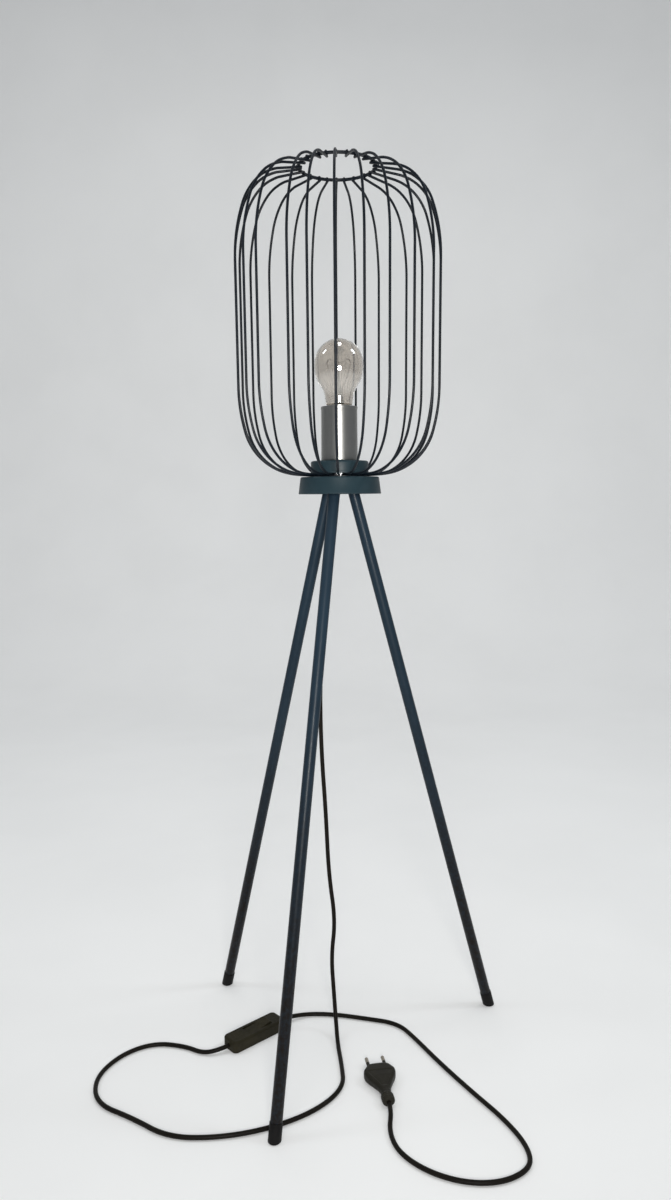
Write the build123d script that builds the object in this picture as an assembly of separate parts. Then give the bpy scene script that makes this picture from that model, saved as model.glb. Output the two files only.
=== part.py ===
from build123d import *
import math
import os

# Wire cage floor lamp on a tripod of steel tubes. Millimetres, +Z up.
# The origin is on the lamp's axis, at floor level. The front of the lamp faces -Y.

# ---- clearances ----
SEAT = 0.02              # between parts that rest on or fill one another
RUN = 0.1                # between a hole and what passes through it
THREAD = 0.04            # between a nut and its thread

# ---- stand ----
LEG_OD = 12.7            # half-inch steel tube
LEG_WALL = 1.2
LEG_AZIMUTHS = {"front": 248.8, "left": 142.4, "right": 19.8}
FOOT_R = 196.6           # distance of each foot from the axis, on the floor
HEAD_R = 17.0            # distance of each leg's axis from the lamp's axis at the cup's rim
TUBE_IN = 6.0            # how far each tube goes up into the cup, past its rim
TUBE_END_Z = 4.2         # height of the centre of the tube's lower end
FERRULE_T = 0.6
FERRULE_LENGTH = 14.0
STUD_D = 8.0

# ---- head cup ----
CUP_RIM_Z = 649.0
CUP_H = 19.0
CUP_TOP_Z = CUP_RIM_Z + CUP_H
CUP_RIM_R = 46.2
CUP_TOP_R = 44.4
SHEET = 1.2
BEAD_R = 1.0
PLATE_T = 3.0            # steel bracket under the cup's top
PLATE_MARGIN = 7.0       # of its rim beyond the legs' axes
NIPPLE_D = 10.0
NIPPLE_WALL = 1.2
NIPPLE_BELOW = 4.3       # thread that stands out of the lowest nut
NIPPLE_ABOVE = 3.4       # and out of the highest
NUT_AF = 13.0
NUT_H = 4.0
WASHER_R = 9.0
WASHER_T = 1.0
BUSHING_T = 0.8
GRIP_H = 8.3

# ---- cage ----
WIRE_D = 2.8
WIRE_COUNT = 24
WIRE_PHASE = -89.7       # azimuth of the first wire, at the front
# degrees by which each hand-welded wire stands off its even place, going round from the front to the right
WIRE_STRAY = (-2, -2, -3, -2, 2, 2, 1, 1, 0, -1, 4, 4, 1, 1, -1, 1, 3, 3, 1, -3, -1, -3, 3, -1)
# corners of one wire's axis: distance from the lamp's axis, height over its foot on the hub
WIRE_LINE = [(39.5, 329.2), (94.6, 316.4), (113.2, 261.0), (111.9, 74.7), (94.3, 3.8), (38.0, 0.0), (16.0, 0.0)]
WIRE_BENDS = [52.0, 180.0, 184.0, 64.0, 110.0]
RING_R = 42.3
RING_D = 3.6
HUB_R = 31.0
HUB_T = 1.0
CAP_R = 32.5
CAP_H = 14.0
WIRE_FOOT_Z = CUP_TOP_Z + HUB_T + WIRE_D / 2
CAP_BASE_Z = WIRE_FOOT_Z + WIRE_D / 2
CAP_TOP_Z = CAP_BASE_Z + CAP_H

# ---- lampholder ----
COVER_R = 20.5
COVER_T = 0.8
COVER_H = 59.9
COVER_FLOOR = 1.0
HOLDER_GAP = 0.2         # between the holder and its cover
HOLDER_FLOOR = 1.6
HOLDER_WALL = 1.6
HOLDER_R = COVER_R - COVER_T - HOLDER_GAP
BASE_H = 14.2            # of the holder's shoulder over the cap
CORE_RISE = 23.2         # of the ceramic core over the cap
CORE_T = 8.0
SHELL_H = 25.0
SHELL_T = 0.35
SHELL_GAP = 0.7          # round the bulb's screw cap
CONTACT_H = 4.5
COVER_TOP_Z = CAP_TOP_Z + COVER_H
SHOULDER_Z = CAP_TOP_Z + BASE_H
CORE_LOW_Z = CAP_TOP_Z + CORE_RISE
CORE_TOP_Z = CORE_LOW_Z + CORE_T
SHELL_TOP_Z = CORE_TOP_Z + SHELL_H
CONTACT_TOP_Z = CORE_TOP_Z + CONTACT_H

# ---- lamp bulb ----
BULB_R = 27.5
BULB_LENGTH = 98.9       # from the centre contact to the crown
BULB_NECK_R = 14.5
BULB_BEND_R = 18.0       # of the concave bend over the neck
GLASS_T = 0.7
BULB_CAP_R = 13.1
BULB_CAP_H = 21.5
BULB_CAP_T = 0.5
BULB_TIP_T = 1.0
BULB_TIP_H = 3.0
NECK_STEP = 1.6          # height of the glass shoulder on the screw cap
SHELL_R = BULB_CAP_R + SHELL_GAP
BULB_CAP_Z = CONTACT_TOP_Z + BULB_TIP_T + BULB_TIP_H
BULB_CAP_TOP_Z = BULB_CAP_Z + BULB_CAP_H
BULB_NECK_Z = BULB_CAP_TOP_Z + NECK_STEP
BULB_Z = CONTACT_TOP_Z + BULB_LENGTH - BULB_R

# ---- cord ----
CORD_D = 5.0

# ---- inline switch: centre on the floor, direction of its length ----
SWITCH_AT = (-107.6, -4.5)
SWITCH_AZ = 42.5
SW_L = 76.0
SW_W = 25.4
SW_H = 14.0
SW_SPLIT = 6.5
SW_WALL = 1.8
SW_FLOOR = 2.0
SW_CORNER = 6.0
SW_SCREWS = ((-28.0, -7.2), (28.0, 7.2))
SCREW_D = 2.4
SCREW_HEAD_D = 5.0
CORD_IN = SW_L / 2 - 3.8     # where each cord ends inside the housing
ROCKER_X = 4.0
ROCKER_PIVOT_Z = SW_H - 3.5
ROCKER_TILT = 7.5
ROCKER_L = 32.0
ROCKER_W = 14.0
PIVOT_D = 2.0

# ---- plug: centre of its tail, direction of its pins ----
PLUG_AT = (47.3, -134.0)
PLUG_AZ = 99.5
PLUG_LENGTH = 60.0
PLUG_W = 35.6
PLUG_T = 13.6
PLUG_Z = PLUG_T / 2 + 0.05
# its form from the tail to the pins' face: shares of the length, of the half width, of the half thickness, and the
# rounding of the section as a share of its smaller half
PLUG_FORM = [(0.0, 0.30, 0.68, 0.90), (0.027, 0.39, 0.91, 0.90), (0.158, 0.40, 0.91, 0.90), (0.217, 0.31, 0.71, 0.90),
             (0.283, 0.30, 0.72, 0.90), (0.40, 0.43, 0.80, 0.80), (0.533, 0.63, 0.91, 0.62), (0.667, 0.87, 1.0, 0.50),
             (0.75, 0.98, 1.0, 0.46), (0.80, 1.0, 1.0, 0.45), (0.858, 0.995, 1.0, 0.45), (0.975, 0.73, 1.0, 0.45),
             (1.0, 0.68, 0.86, 0.45)]
PIN_SPACING = 18.6
PIN_D = 4.0
PIN_LENGTH = 19.0
SLEEVE_LENGTH = 10.0
SLEEVE_T = 0.4

# ---- heights along the nipple, from the cup's top both ways ----
PLATE_LOW_Z = CUP_TOP_Z - SHEET - PLATE_T
LOW_NUT_Z = PLATE_LOW_Z - NUT_H
HUB_NUT_Z = CUP_TOP_Z + HUB_T + WASHER_T
CAP_NUT_Z = CAP_TOP_Z - SHEET - NUT_H
BASE_NUT_Z = CAP_TOP_Z + COVER_FLOOR + HOLDER_FLOOR
NIPPLE_LOW_Z = LOW_NUT_Z - NIPPLE_BELOW
NIPPLE_TOP_Z = BASE_NUT_Z + NUT_H + NIPPLE_ABOVE
GRIP_LOW_Z = BASE_NUT_Z + NUT_H + RUN
GRIP_TOP_Z = GRIP_LOW_Z + GRIP_H
NIPPLE_HOLE = NIPPLE_D / 2 + RUN
NIPPLE_FIT = NIPPLE_D / 2 + THREAD
BUSHING_Z = NIPPLE_LOW_Z - BUSHING_T

OUT = "parts"
os.makedirs(OUT, exist_ok=True)
UP = (Align.CENTER, Align.CENTER, Align.MIN)
MADE = {}


def keep(name, shapes):
    """Write one node, of one solid or of several alike."""
    if not isinstance(shapes, (list, tuple)):
        shapes = [shapes]
    solids = []
    for s in shapes:
        solids += list(s.solids())
    node = solids[0] if len(solids) == 1 else Compound(children=solids)
    node.label = name
    export_step(node, os.path.join(OUT, name + ".step"))
    MADE[name] = solids
    return node


def disc(r, z0, z1, hole=0.0):
    d = Pos(0, 0, z0) * Cylinder(r, z1 - z0, align=UP)
    if hole:
        d -= Pos(0, 0, z0 - 1) * Cylinder(hole, z1 - z0 + 2, align=UP)
    return d


def turned(points):
    """Revolve a closed outline of (radius, height) points about the lamp's axis."""
    face = make_face(Polyline(*[(r, 0, z) for r, z in points], close=True))
    return revolve(face, Axis.Z, 360)


def rod(at, direction, r, length, hole=0.0):
    p = Plane(origin=at, z_dir=direction)
    s = p * Cylinder(r, length, align=UP)
    if hole:
        s -= Plane(origin=Vector(*at) - Vector(*direction).normalized(), z_dir=direction) * Cylinder(
            hole, length + 2, align=UP)
    return s


def route(points, d, name):
    """A tube along straight runs joined by arcs as large as the runs allow."""
    pts = [Vector(*p) for p in points]
    radii = []
    for a, b, c in zip(pts, pts[1:], pts[2:]):
        turn = math.radians((b - a).get_angle(c - b))
        radii.append(0.45 * min((b - a).length, (c - b).length) / math.tan(turn / 2))
    line = FilletPolyline(*[tuple(p) for p in points], radius=radii)
    start = Plane(origin=pts[0], z_dir=pts[1] - pts[0])
    tube = sweep(start * Circle(d / 2), path=line)
    area = math.pi * d * d / 4
    runs = [round((b - a).length) for a, b in zip(pts, pts[1:])]
    print(name, "length", round(line.length, 1), "volume ratio", round(tube.volume / (area * line.length), 4))
    print(name, "runs", runs)
    print(name, "radii", [round(r) for r in radii], "lowest", round(tube.bounding_box().min.Z, 3))
    return tube


# ------------------------------------------------------------------ legs
lean = math.hypot(FOOT_R - HEAD_R, CUP_RIM_Z)
out_part = (FOOT_R - HEAD_R) / lean
down_part = CUP_RIM_Z / lean
tube_top_z = CUP_RIM_Z + TUBE_IN
bore_r = LEG_OD / 2 - LEG_WALL
stud_hole = STUD_D / 2 + RUN / 2
inserts = []
studs = []
bosses = []
for side, azimuth in LEG_AZIMUTHS.items():
    ca = math.cos(math.radians(azimuth))
    sa = math.sin(math.radians(azimuth))

    def on_leg(z):
        r = HEAD_R + (CUP_RIM_Z - z) * out_part / down_part
        return (r * ca, r * sa, z)

    along = (out_part * ca, out_part * sa, -down_part)
    back = (-along[0], -along[1], -along[2])
    top = on_leg(tube_top_z)
    end = on_leg(TUBE_END_Z)
    length = (tube_top_z - TUBE_END_Z) / down_part
    keep("leg_" + side, rod(top, along, LEG_OD / 2, length, bore_r))

    # rubber ferrule, pushed over the tube and trimmed flat where it stands
    cap_r = LEG_OD / 2 + FERRULE_T
    foot = rod(end, back, cap_r, FERRULE_LENGTH) - rod(end, back, LEG_OD / 2 + SEAT, FERRULE_LENGTH + 1)
    foot += rod(end, along, cap_r, 3 * TUBE_END_Z)
    foot = split(foot, Plane(origin=(0, 0, 0), z_dir=(0, 0, 1)), keep=Keep.TOP)
    sole = foot.edges().group_by(Axis.Z)[0]
    foot = fillet(sole, TUBE_END_Z / 3)
    keep("foot_cap_" + side, foot)

    # the stud is screwed through a plug in the tube's top, up into the bracket's boss
    inserts.append(rod(top, along, bore_r - SEAT, 18.0, stud_hole))
    studs.append(rod(Vector(*top) + Vector(*back) * 6.0, along, STUD_D / 2, 21.0))
    boss = rod(top, back, bore_r + 0.35, 14.0 + CUP_H / 4)
    bosses.append(boss - rod(Vector(*top) + Vector(*along), back, stud_hole, 7.0 + RUN))

keep("leg_inserts", inserts)
keep("leg_studs", studs)

# round steel bracket under the cup's top, with a slanted boss for each leg
bracket = disc(HEAD_R + PLATE_MARGIN, PLATE_LOW_Z, CUP_TOP_Z - SHEET)
for boss in bosses:
    bracket += split(boss, Plane(origin=(0, 0, PLATE_LOW_Z + PLATE_T / 6), z_dir=(0, 0, 1)), keep=Keep.BOTTOM)
bracket -= disc(NIPPLE_HOLE, PLATE_LOW_Z - 20, CUP_TOP_Z)
keep("leg_bracket", bracket)

# ------------------------------------------------------------------ head cup
cup = turned([
    (NIPPLE_HOLE, CUP_TOP_Z), (CUP_TOP_R - 1.4, CUP_TOP_Z), (CUP_TOP_R - 0.4, CUP_TOP_Z - 0.4),
    (CUP_TOP_R, CUP_TOP_Z - 1.4), (CUP_RIM_R, CUP_RIM_Z + BEAD_R), (CUP_RIM_R - SHEET, CUP_RIM_Z + BEAD_R),
    (CUP_TOP_R - SHEET, CUP_TOP_Z - SHEET), (NIPPLE_HOLE, CUP_TOP_Z - SHEET)])
cup += Pos(0, 0, CUP_RIM_Z + BEAD_R) * Torus(CUP_RIM_R - SHEET / 2, BEAD_R)
keep("head_cup", cup)

keep("nipple", disc(NIPPLE_D / 2, NIPPLE_LOW_Z, NIPPLE_TOP_Z, NIPPLE_D / 2 - NIPPLE_WALL))
nuts = []
for z in (LOW_NUT_Z, HUB_NUT_Z, CAP_NUT_Z, BASE_NUT_Z):
    nut = Pos(0, 0, z) * extrude(RegularPolygon(NUT_AF / 2, 6, major_radius=False), NUT_H)
    nuts.append(nut - disc(NIPPLE_FIT, z - 1, z + NUT_H + 1))
keep("nipple_nuts", nuts)
keep("hub_washer", disc(WASHER_R, CUP_TOP_Z + HUB_T, HUB_NUT_Z, NIPPLE_HOLE))

# nylon bushing over the nipple's lower end, where the cord comes out
bushing = disc(NIPPLE_D / 2 + 1.0, BUSHING_Z, LOW_NUT_Z, NIPPLE_FIT)
bushing += disc(NIPPLE_D / 2 + 0.5, BUSHING_Z, NIPPLE_LOW_Z, NIPPLE_D / 2 - NIPPLE_WALL + 0.4)
keep("cord_bushing", bushing)

# cord grip on the nipple's upper end, inside the lampholder, with its screw
grip_r = NIPPLE_D / 2 + 1.5
screw_z = GRIP_TOP_Z - 2.4
grip = disc(grip_r, GRIP_LOW_Z, GRIP_TOP_Z, CORD_D / 2 + RUN) - disc(NIPPLE_FIT, GRIP_LOW_Z - 2, NIPPLE_TOP_Z)
grip -= rod((0, 0, screw_z), (0, 1, 0), 1.55, grip_r + 1.5)
keep("cord_grip", grip)
grip_screw = rod((0, CORD_D / 2 + 0.06, screw_z), (0, 1, 0), 1.5, grip_r - CORD_D / 2 + 0.4)
grip_screw += rod((0, grip_r, screw_z), (0, 1, 0), 2.3, 1.2)
keep("cord_grip_screw", grip_screw)

# ------------------------------------------------------------------ cage
wire_line = FilletPolyline(*[(r, 0, WIRE_FOOT_Z + h) for r, h in WIRE_LINE], radius=WIRE_BENDS)
first = Vector(WIRE_LINE[1][0] - WIRE_LINE[0][0], 0, WIRE_LINE[1][1] - WIRE_LINE[0][1])
wire_start = (WIRE_LINE[0][0], 0, WIRE_FOOT_Z + WIRE_LINE[0][1])
wire = sweep(Plane(origin=wire_start, z_dir=first) * Circle(WIRE_D / 2), path=wire_line)
print("cage wire length", round(wire_line.length, 1))
cage = []
for i in range(WIRE_COUNT):
    cage.append(Rot(0, 0, WIRE_PHASE + i * 360.0 / WIRE_COUNT + WIRE_STRAY[i % len(WIRE_STRAY)]) * wire)
keep("cage_wires", cage)

# the ring lies on the wires, which slope down under it
slope = first.Z / first.X
ring_z = wire_start[2] + slope * (RING_R - wire_start[0]) + ((WIRE_D + RING_D) / 2 + SEAT) * math.hypot(1, slope)
print("ring height", round(ring_z, 3))
keep("top_ring", Pos(0, 0, ring_z) * Torus(RING_R, RING_D / 2))
keep("cage_hub", disc(HUB_R, CUP_TOP_Z, CUP_TOP_Z + HUB_T, NIPPLE_HOLE))

cap = turned([
    (NIPPLE_HOLE, CAP_TOP_Z), (CAP_R - 2.4, CAP_TOP_Z), (CAP_R - 1.1, CAP_TOP_Z - 0.35),
    (CAP_R - 0.35, CAP_TOP_Z - 1.1), (CAP_R, CAP_TOP_Z - 2.4), (CAP_R, CAP_BASE_Z),
    (CAP_R - SHEET, CAP_BASE_Z), (CAP_R - SHEET, CAP_TOP_Z - SHEET - 0.8),
    (CAP_R - SHEET - 0.8, CAP_TOP_Z - SHEET), (NIPPLE_HOLE, CAP_TOP_Z - SHEET)])
keep("cage_cap", cap)

# ------------------------------------------------------------------ lampholder
floor_z = CAP_TOP_Z + COVER_FLOOR
cover = turned([
    (NIPPLE_HOLE, CAP_TOP_Z), (COVER_R - 1.0, CAP_TOP_Z), (COVER_R, CAP_TOP_Z + 1.0),
    (COVER_R, COVER_TOP_Z), (COVER_R - COVER_T, COVER_TOP_Z), (COVER_R - COVER_T, floor_z + 0.4),
    (COVER_R - COVER_T - 0.4, floor_z), (NIPPLE_HOLE, floor_z)])
keep("socket_cover", cover)

lip = 1.0                # overlap of the holder's base inside its skirt
holder_base = turned([
    (NIPPLE_FIT, floor_z), (HOLDER_R - 0.8, floor_z), (HOLDER_R, floor_z + 0.8),
    (HOLDER_R, SHOULDER_Z), (HOLDER_R - lip, SHOULDER_Z), (HOLDER_R - lip, CORE_LOW_Z),
    (HOLDER_R - lip - HOLDER_WALL, CORE_LOW_Z), (HOLDER_R - lip - HOLDER_WALL, BASE_NUT_Z),
    (NIPPLE_FIT, BASE_NUT_Z)])
keep("holder_base", holder_base)

core = disc(HOLDER_R - lip - RUN, CORE_LOW_Z, CORE_TOP_Z)
core -= disc(8.0, CORE_LOW_Z - 1, CORE_LOW_Z + 3)
keep("holder_core", core)

skirt_top = SHELL_TOP_Z + 1.8
skirt_wall = lip - RUN
skirt = turned([
    (HOLDER_R, SHOULDER_Z), (HOLDER_R, skirt_top - 0.6), (HOLDER_R - 0.6, skirt_top), (SHELL_R + 0.8, skirt_top),
    (SHELL_R + 0.3, skirt_top - 0.6), (SHELL_R + 0.3, SHELL_TOP_Z), (HOLDER_R - skirt_wall, SHELL_TOP_Z),
    (HOLDER_R - skirt_wall, SHOULDER_Z)])
keep("holder_skirt", skirt)

shell = disc(SHELL_R, CORE_TOP_Z, SHELL_TOP_Z, SHELL_R - SHELL_T)
shell += disc(SHELL_R + 1.0, SHELL_TOP_Z - 0.6, SHELL_TOP_Z, SHELL_R - SHELL_T)
keep("screw_shell", shell)

contact = Pos(0, 0, CORE_TOP_Z) * Box(20.0, 6.0, 0.6, align=UP)
contact += Pos(0, 0, CORE_TOP_Z + 0.6) * Cone(3.6, 2.4, CONTACT_H - 0.6, align=UP)
keep("centre_contact", contact)

terminals = []
terminal_screws = []
terminal_x = HOLDER_R - 8.0
terminal_z = CORE_LOW_Z - 6.5
hole_z = terminal_z + 2.7
for way in (-1, 1):
    block = Pos(way * terminal_x, 0, terminal_z) * Box(5.0, 7.0, 6.5, align=UP)
    terminals.append(block - rod((way * (terminal_x - 3.5), 0, hole_z), (way, 0, 0), 1.3, 5.0))
    head = Pos(way * terminal_x, 0, terminal_z - 1.3) * Cylinder(1.8, 1.3, align=UP)
    terminal_screws.append(head - Pos(way * terminal_x, 0, terminal_z - 1.3) * Box(4.0, 0.6, 1.2))
keep("holder_terminals", terminals)
keep("terminal_screws", terminal_screws)

# insulated cores, from the end of the sheath to the terminals
for label, way in (("core_live", -1), ("core_neutral", 1)):
    line = [(way * 1.25, 0, GRIP_TOP_Z + 0.04), (way * 1.25, 0, hole_z), (way * (terminal_x + 1.4), 0, hole_z)]
    path = FilletPolyline(*line, radius=[3.2])
    keep(label, sweep(Plane(origin=line[0], z_dir=(0, 0, 1)) * Circle(1.15), path=path))

# ------------------------------------------------------------------ lamp bulb
# the straight flank is the line that touches both the globe and the concave bend over the neck
bend_z = BULB_NECK_Z + 0.5
bend_x = BULB_NECK_R + BULB_BEND_R
apart = math.hypot(bend_x, BULB_Z - bend_z)
flank = math.asin((BULB_R + BULB_BEND_R) / apart) - math.atan2(bend_x, BULB_Z - bend_z)
print("bulb flank", round(math.degrees(flank), 2))


def bulb_face(t, neck_low):
    """Half section of the glass, inset by t."""
    r = BULB_R - t
    neck = BULB_NECK_R - t
    bend = BULB_BEND_R + t
    touch = (r * math.cos(flank), BULB_Z - r * math.sin(flank))
    low = (bend_x - bend * math.cos(flank), bend_z + bend * math.sin(flank))
    mid = (bend_x - bend * math.cos(flank / 2), bend_z + bend * math.sin(flank / 2))
    side_a = (math.pi / 2 - flank) / 2
    globe = ThreePointArc((0, BULB_Z + r), (r * math.cos(side_a), BULB_Z + r * math.sin(side_a)), touch)
    edges = [globe, Line(touch, low), ThreePointArc(low, mid, (neck, bend_z)),
             Line((neck, bend_z), (neck, neck_low)), Line((neck, neck_low), (0, neck_low)),
             Line((0, neck_low), (0, BULB_Z + r))]
    return Plane.XZ * make_face(edges)


foot_r = BULB_CAP_R - BULB_CAP_T - 0.1       # of the glass inside the screw cap
foot_z = BULB_CAP_TOP_Z - 6.0
outer = revolve(bulb_face(0.0, BULB_NECK_Z), Axis.Z, 360)
outer += Pos(0, 0, BULB_CAP_TOP_Z) * Cone(foot_r, BULB_NECK_R, NECK_STEP, align=UP)
outer += disc(foot_r, foot_z, BULB_CAP_TOP_Z)
inner = revolve(bulb_face(GLASS_T, BULB_NECK_Z), Axis.Z, 360)
inner += disc(foot_r - GLASS_T - 0.2, foot_z - 1, BULB_NECK_Z)
keep("bulb_glass", outer - inner)

keep("bulb_cap", disc(BULB_CAP_R, BULB_CAP_Z, BULB_CAP_TOP_Z, BULB_CAP_R - BULB_CAP_T))
insulator = disc(BULB_CAP_R - BULB_CAP_T - SEAT, BULB_CAP_Z, BULB_CAP_Z + 2.0)
insulator += Pos(0, 0, BULB_CAP_Z - BULB_TIP_H) * Cone(5.5, 11.0, BULB_TIP_H, align=UP)
keep("bulb_insulator", insulator)
keep("bulb_contact", disc(4.8, CONTACT_TOP_Z, CONTACT_TOP_Z + BULB_TIP_T))

stem_r = foot_r - GLASS_T - 0.2 - SEAT
stem_rows = [(0, -5.8), (stem_r, -5.8), (stem_r, -4.8), (8.0, -2.5), (5.0, 3.0), (4.0, 11.0), (3.2, 19.0), (1.2, 22.0),
             (1.1, 37.0), (1.8, 38.5), (1.1, 40.0), (0, 40.4)]
stem = turned([(r, BULB_CAP_TOP_Z + h) for r, h in stem_rows])
# lead wires up from the stem and the looped filament between them
leads = [(-3.0, 0, 18.0), (-8.0, 0, 30.0), (-13.5, 0, 46.0), (-10.0, 6.5, 52.0), (0, 9.5, 48.5),
         (10.0, 6.5, 52.0), (13.5, 0, 46.0), (8.0, 0, 30.0), (3.0, 0, 18.0)]
leads = [(x, y, BULB_CAP_TOP_Z + h) for x, y, h in leads]
lead_line = FilletPolyline(*leads, radius=[4.0, 2.5, 2.5, 4.0, 2.5, 2.5, 4.0])
lead_start = Plane(origin=leads[0], z_dir=Vector(*leads[1]) - Vector(*leads[0]))
filament = sweep(lead_start * Circle(0.3), path=lead_line)
keep("bulb_filament", filament)
keep("bulb_stem", stem - filament)

# ------------------------------------------------------------------ inline switch
sw = Pos(SWITCH_AT[0], SWITCH_AT[1], 0) * Rot(0, 0, SWITCH_AZ)


def slab(length, width, r, z0, z1):
    return Pos(0, 0, z0) * extrude(RectangleRounded(length, width, r), z1 - z0)


entry = Plane(origin=(-SW_L, 0, SW_SPLIT), z_dir=(1, 0, 0)) * Cylinder(CORD_D / 2 + 0.05, 2 * SW_L, align=UP)
low_half = slab(SW_L, SW_W, SW_CORNER, 0, SW_SPLIT)
low_half = fillet(low_half.edges().group_by(Axis.Z)[0], 1.6)
low_half -= slab(SW_L - 2 * SW_WALL, SW_W - 2 * SW_WALL, SW_CORNER - SW_WALL, SW_FLOOR, SW_SPLIT + 1)
boss_r = SCREW_HEAD_D / 2 + 0.9
for x, y in SW_SCREWS:
    low_half += Pos(x, y, 0.4) * Cylinder(boss_r, SW_SPLIT - 0.4, align=UP)
    low_half -= Pos(x, y, -1.0) * Cylinder(SCREW_HEAD_D / 2 + 0.2, 3.2, align=UP)
    low_half -= Pos(x, y, -1.0) * Cylinder(SCREW_D / 2 + 0.3, SW_H, align=UP)
low_half -= entry
keep("switch_base", sw * low_half)

roof = SW_H - SW_WALL
top_half = slab(SW_L, SW_W, SW_CORNER, SW_SPLIT, SW_H)
top_half = fillet(top_half.edges().group_by(Axis.Z)[-1], 2.6)
top_half -= slab(SW_L - 2 * SW_WALL, SW_W - 2 * SW_WALL, SW_CORNER - SW_WALL, SW_SPLIT - 1, roof)
top_half -= Pos(ROCKER_X, 0, SW_H - 4) * Box(ROCKER_L + 1.8, ROCKER_W + 0.8, 8.0, align=UP)
cheek = ROCKER_W / 2 + 0.4
for side in (-1, 1):
    top_half += Pos(ROCKER_X, side * (cheek + 0.8), 8.4) * Box(6.0, 1.6, roof - 8.4 + 0.3, align=UP)
for x, y in SW_SCREWS:
    top_half += Pos(x, y, SW_SPLIT) * Cylinder(SCREW_D / 2 + 1.4, roof + 0.3 - SW_SPLIT, align=UP)
    top_half -= Pos(x, y, SW_SPLIT - 1) * Cylinder(SCREW_D / 2 + 0.05, 5.0, align=UP)
top_half -= rod((ROCKER_X, -cheek - 1.0, ROCKER_PIVOT_Z), (0, 1, 0), PIVOT_D / 2 + SEAT, 2 * cheek + 2.0)
top_half -= entry
keep("switch_top", sw * top_half)
keep("rocker_pin", sw * rod((ROCKER_X, -cheek - 0.9, ROCKER_PIVOT_Z), (0, 1, 0), PIVOT_D / 2, 2 * cheek + 1.8))

half = ROCKER_L / 2
rocker_side = Polyline((-half, 0.3), (-half, 4.1), (0, 2.9), (half, 4.1), (half, 0.3), (5.0, -3.0), (-5.0, -3.0),
                       close=True)
rocker = extrude(Plane.XZ * make_face(rocker_side), ROCKER_W / 2, both=True)
rocker = fillet(rocker.edges().filter_by(Axis.Y).group_by(Axis.Z)[-1], 0.8)
rocker -= rod((0, -ROCKER_W, 0), (0, 1, 0), PIVOT_D / 2 + 0.05, 2 * ROCKER_W)
rocker = Pos(ROCKER_X, 0, ROCKER_PIVOT_Z) * Rot(0, -ROCKER_TILT, 0) * rocker
keep("switch_rocker", sw * rocker)

screws = []
for x, y in SW_SCREWS:
    s = Pos(x, y, 0.8) * Cylinder(SCREW_HEAD_D / 2, 1.4, align=UP)
    s += Pos(x, y, 2.2) * Cylinder(SCREW_D / 2, SW_SPLIT + 1.2, align=UP)
    s -= Pos(x, y, 0.8) * Box(SCREW_HEAD_D - 1.4, 0.7, 1.4)
    screws.append(sw * s)
keep("switch_screws", screws)

clamps = []
for way in (-1, 1):
    block = Pos(way * (CORD_IN - 3.6), 0, SW_FLOOR) * Box(7.2, 6.8, 2 * (SW_SPLIT - SW_FLOOR), align=UP)
    block -= Plane(origin=(way * (CORD_IN - 9.0), 0, SW_SPLIT), z_dir=(way, 0, 0)) * Cylinder(1.6, 5.0, align=UP)
    clamps.append(sw * block)
keep("switch_clamps", clamps)

contacts = []
for way in (-1, 1):
    strip = Pos(ROCKER_X + way * 7.0, 0, SW_FLOOR) * Box(3.0, 8.0, 3.4, align=UP)
    strip += Pos(ROCKER_X + way * 7.0, 0, SW_FLOOR + 3.4) * Cylinder(1.2, 1.6, align=UP)
    contacts.append(sw * strip)
keep("switch_contacts", contacts)

# ------------------------------------------------------------------ plug
plug = Pos(PLUG_AT[0], PLUG_AT[1], PLUG_Z) * Rot(0, 0, PLUG_AZ)
sections = []
for share, wide, thick, corner in PLUG_FORM:
    w = wide * PLUG_W / 2
    d = thick * PLUG_T / 2
    at = Plane(origin=(share * PLUG_LENGTH, 0, 0), x_dir=(0, 1, 0), z_dir=(1, 0, 0))
    sections.append(at * RectangleRounded(2 * w, 2 * d, corner * min(w, d)))
body = loft(sections, ruled=True)
body -= rod((-1, 0, 0), (1, 0, 0), CORD_D / 2 + 0.05, 9.0)
for side in (-1, 1):
    body -= rod((PLUG_LENGTH - 10.0, side * PIN_SPACING / 2, 0), (1, 0, 0), PIN_D / 2 + 0.02, 12.0)
keep("plug_body", plug * body)
pins = []
sleeves = []
for side in (-1, 1):
    y = side * PIN_SPACING / 2
    pin = rod((PLUG_LENGTH - 10.0, y, 0), (1, 0, 0), PIN_D / 2, 10.0)
    pin += rod((PLUG_LENGTH, y, 0), (1, 0, 0), PIN_D / 2 - SLEEVE_T - 0.1, PIN_LENGTH)
    pin += rod((PLUG_LENGTH + SLEEVE_LENGTH, y, 0), (1, 0, 0), PIN_D / 2, PIN_LENGTH - SLEEVE_LENGTH)
    pin = chamfer(pin.edges().group_by(Axis.X)[-1], 0.7)
    pins.append(plug * pin)
    sleeves.append(plug * rod((PLUG_LENGTH, y, 0), (1, 0, 0), PIN_D / 2 - 0.1, SLEEVE_LENGTH, PIN_D / 2 - SLEEVE_T - 0.08))
keep("plug_pins", pins)
keep("plug_sleeves", sleeves)

# ------------------------------------------------------------------ cord
az = math.radians(SWITCH_AZ)
sw_x, sw_y = math.cos(az), math.sin(az)
paz = math.radians(PLUG_AZ)
plug_x, plug_y = math.cos(paz), math.sin(paz)


def switch_side(x, z):
    return (SWITCH_AT[0] + x * sw_x, SWITCH_AT[1] + x * sw_y, z)


def plug_side(x, z):
    return (PLUG_AT[0] + x * plug_x, PLUG_AT[1] + x * plug_y, z)


LOW = CORD_D / 2
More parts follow.
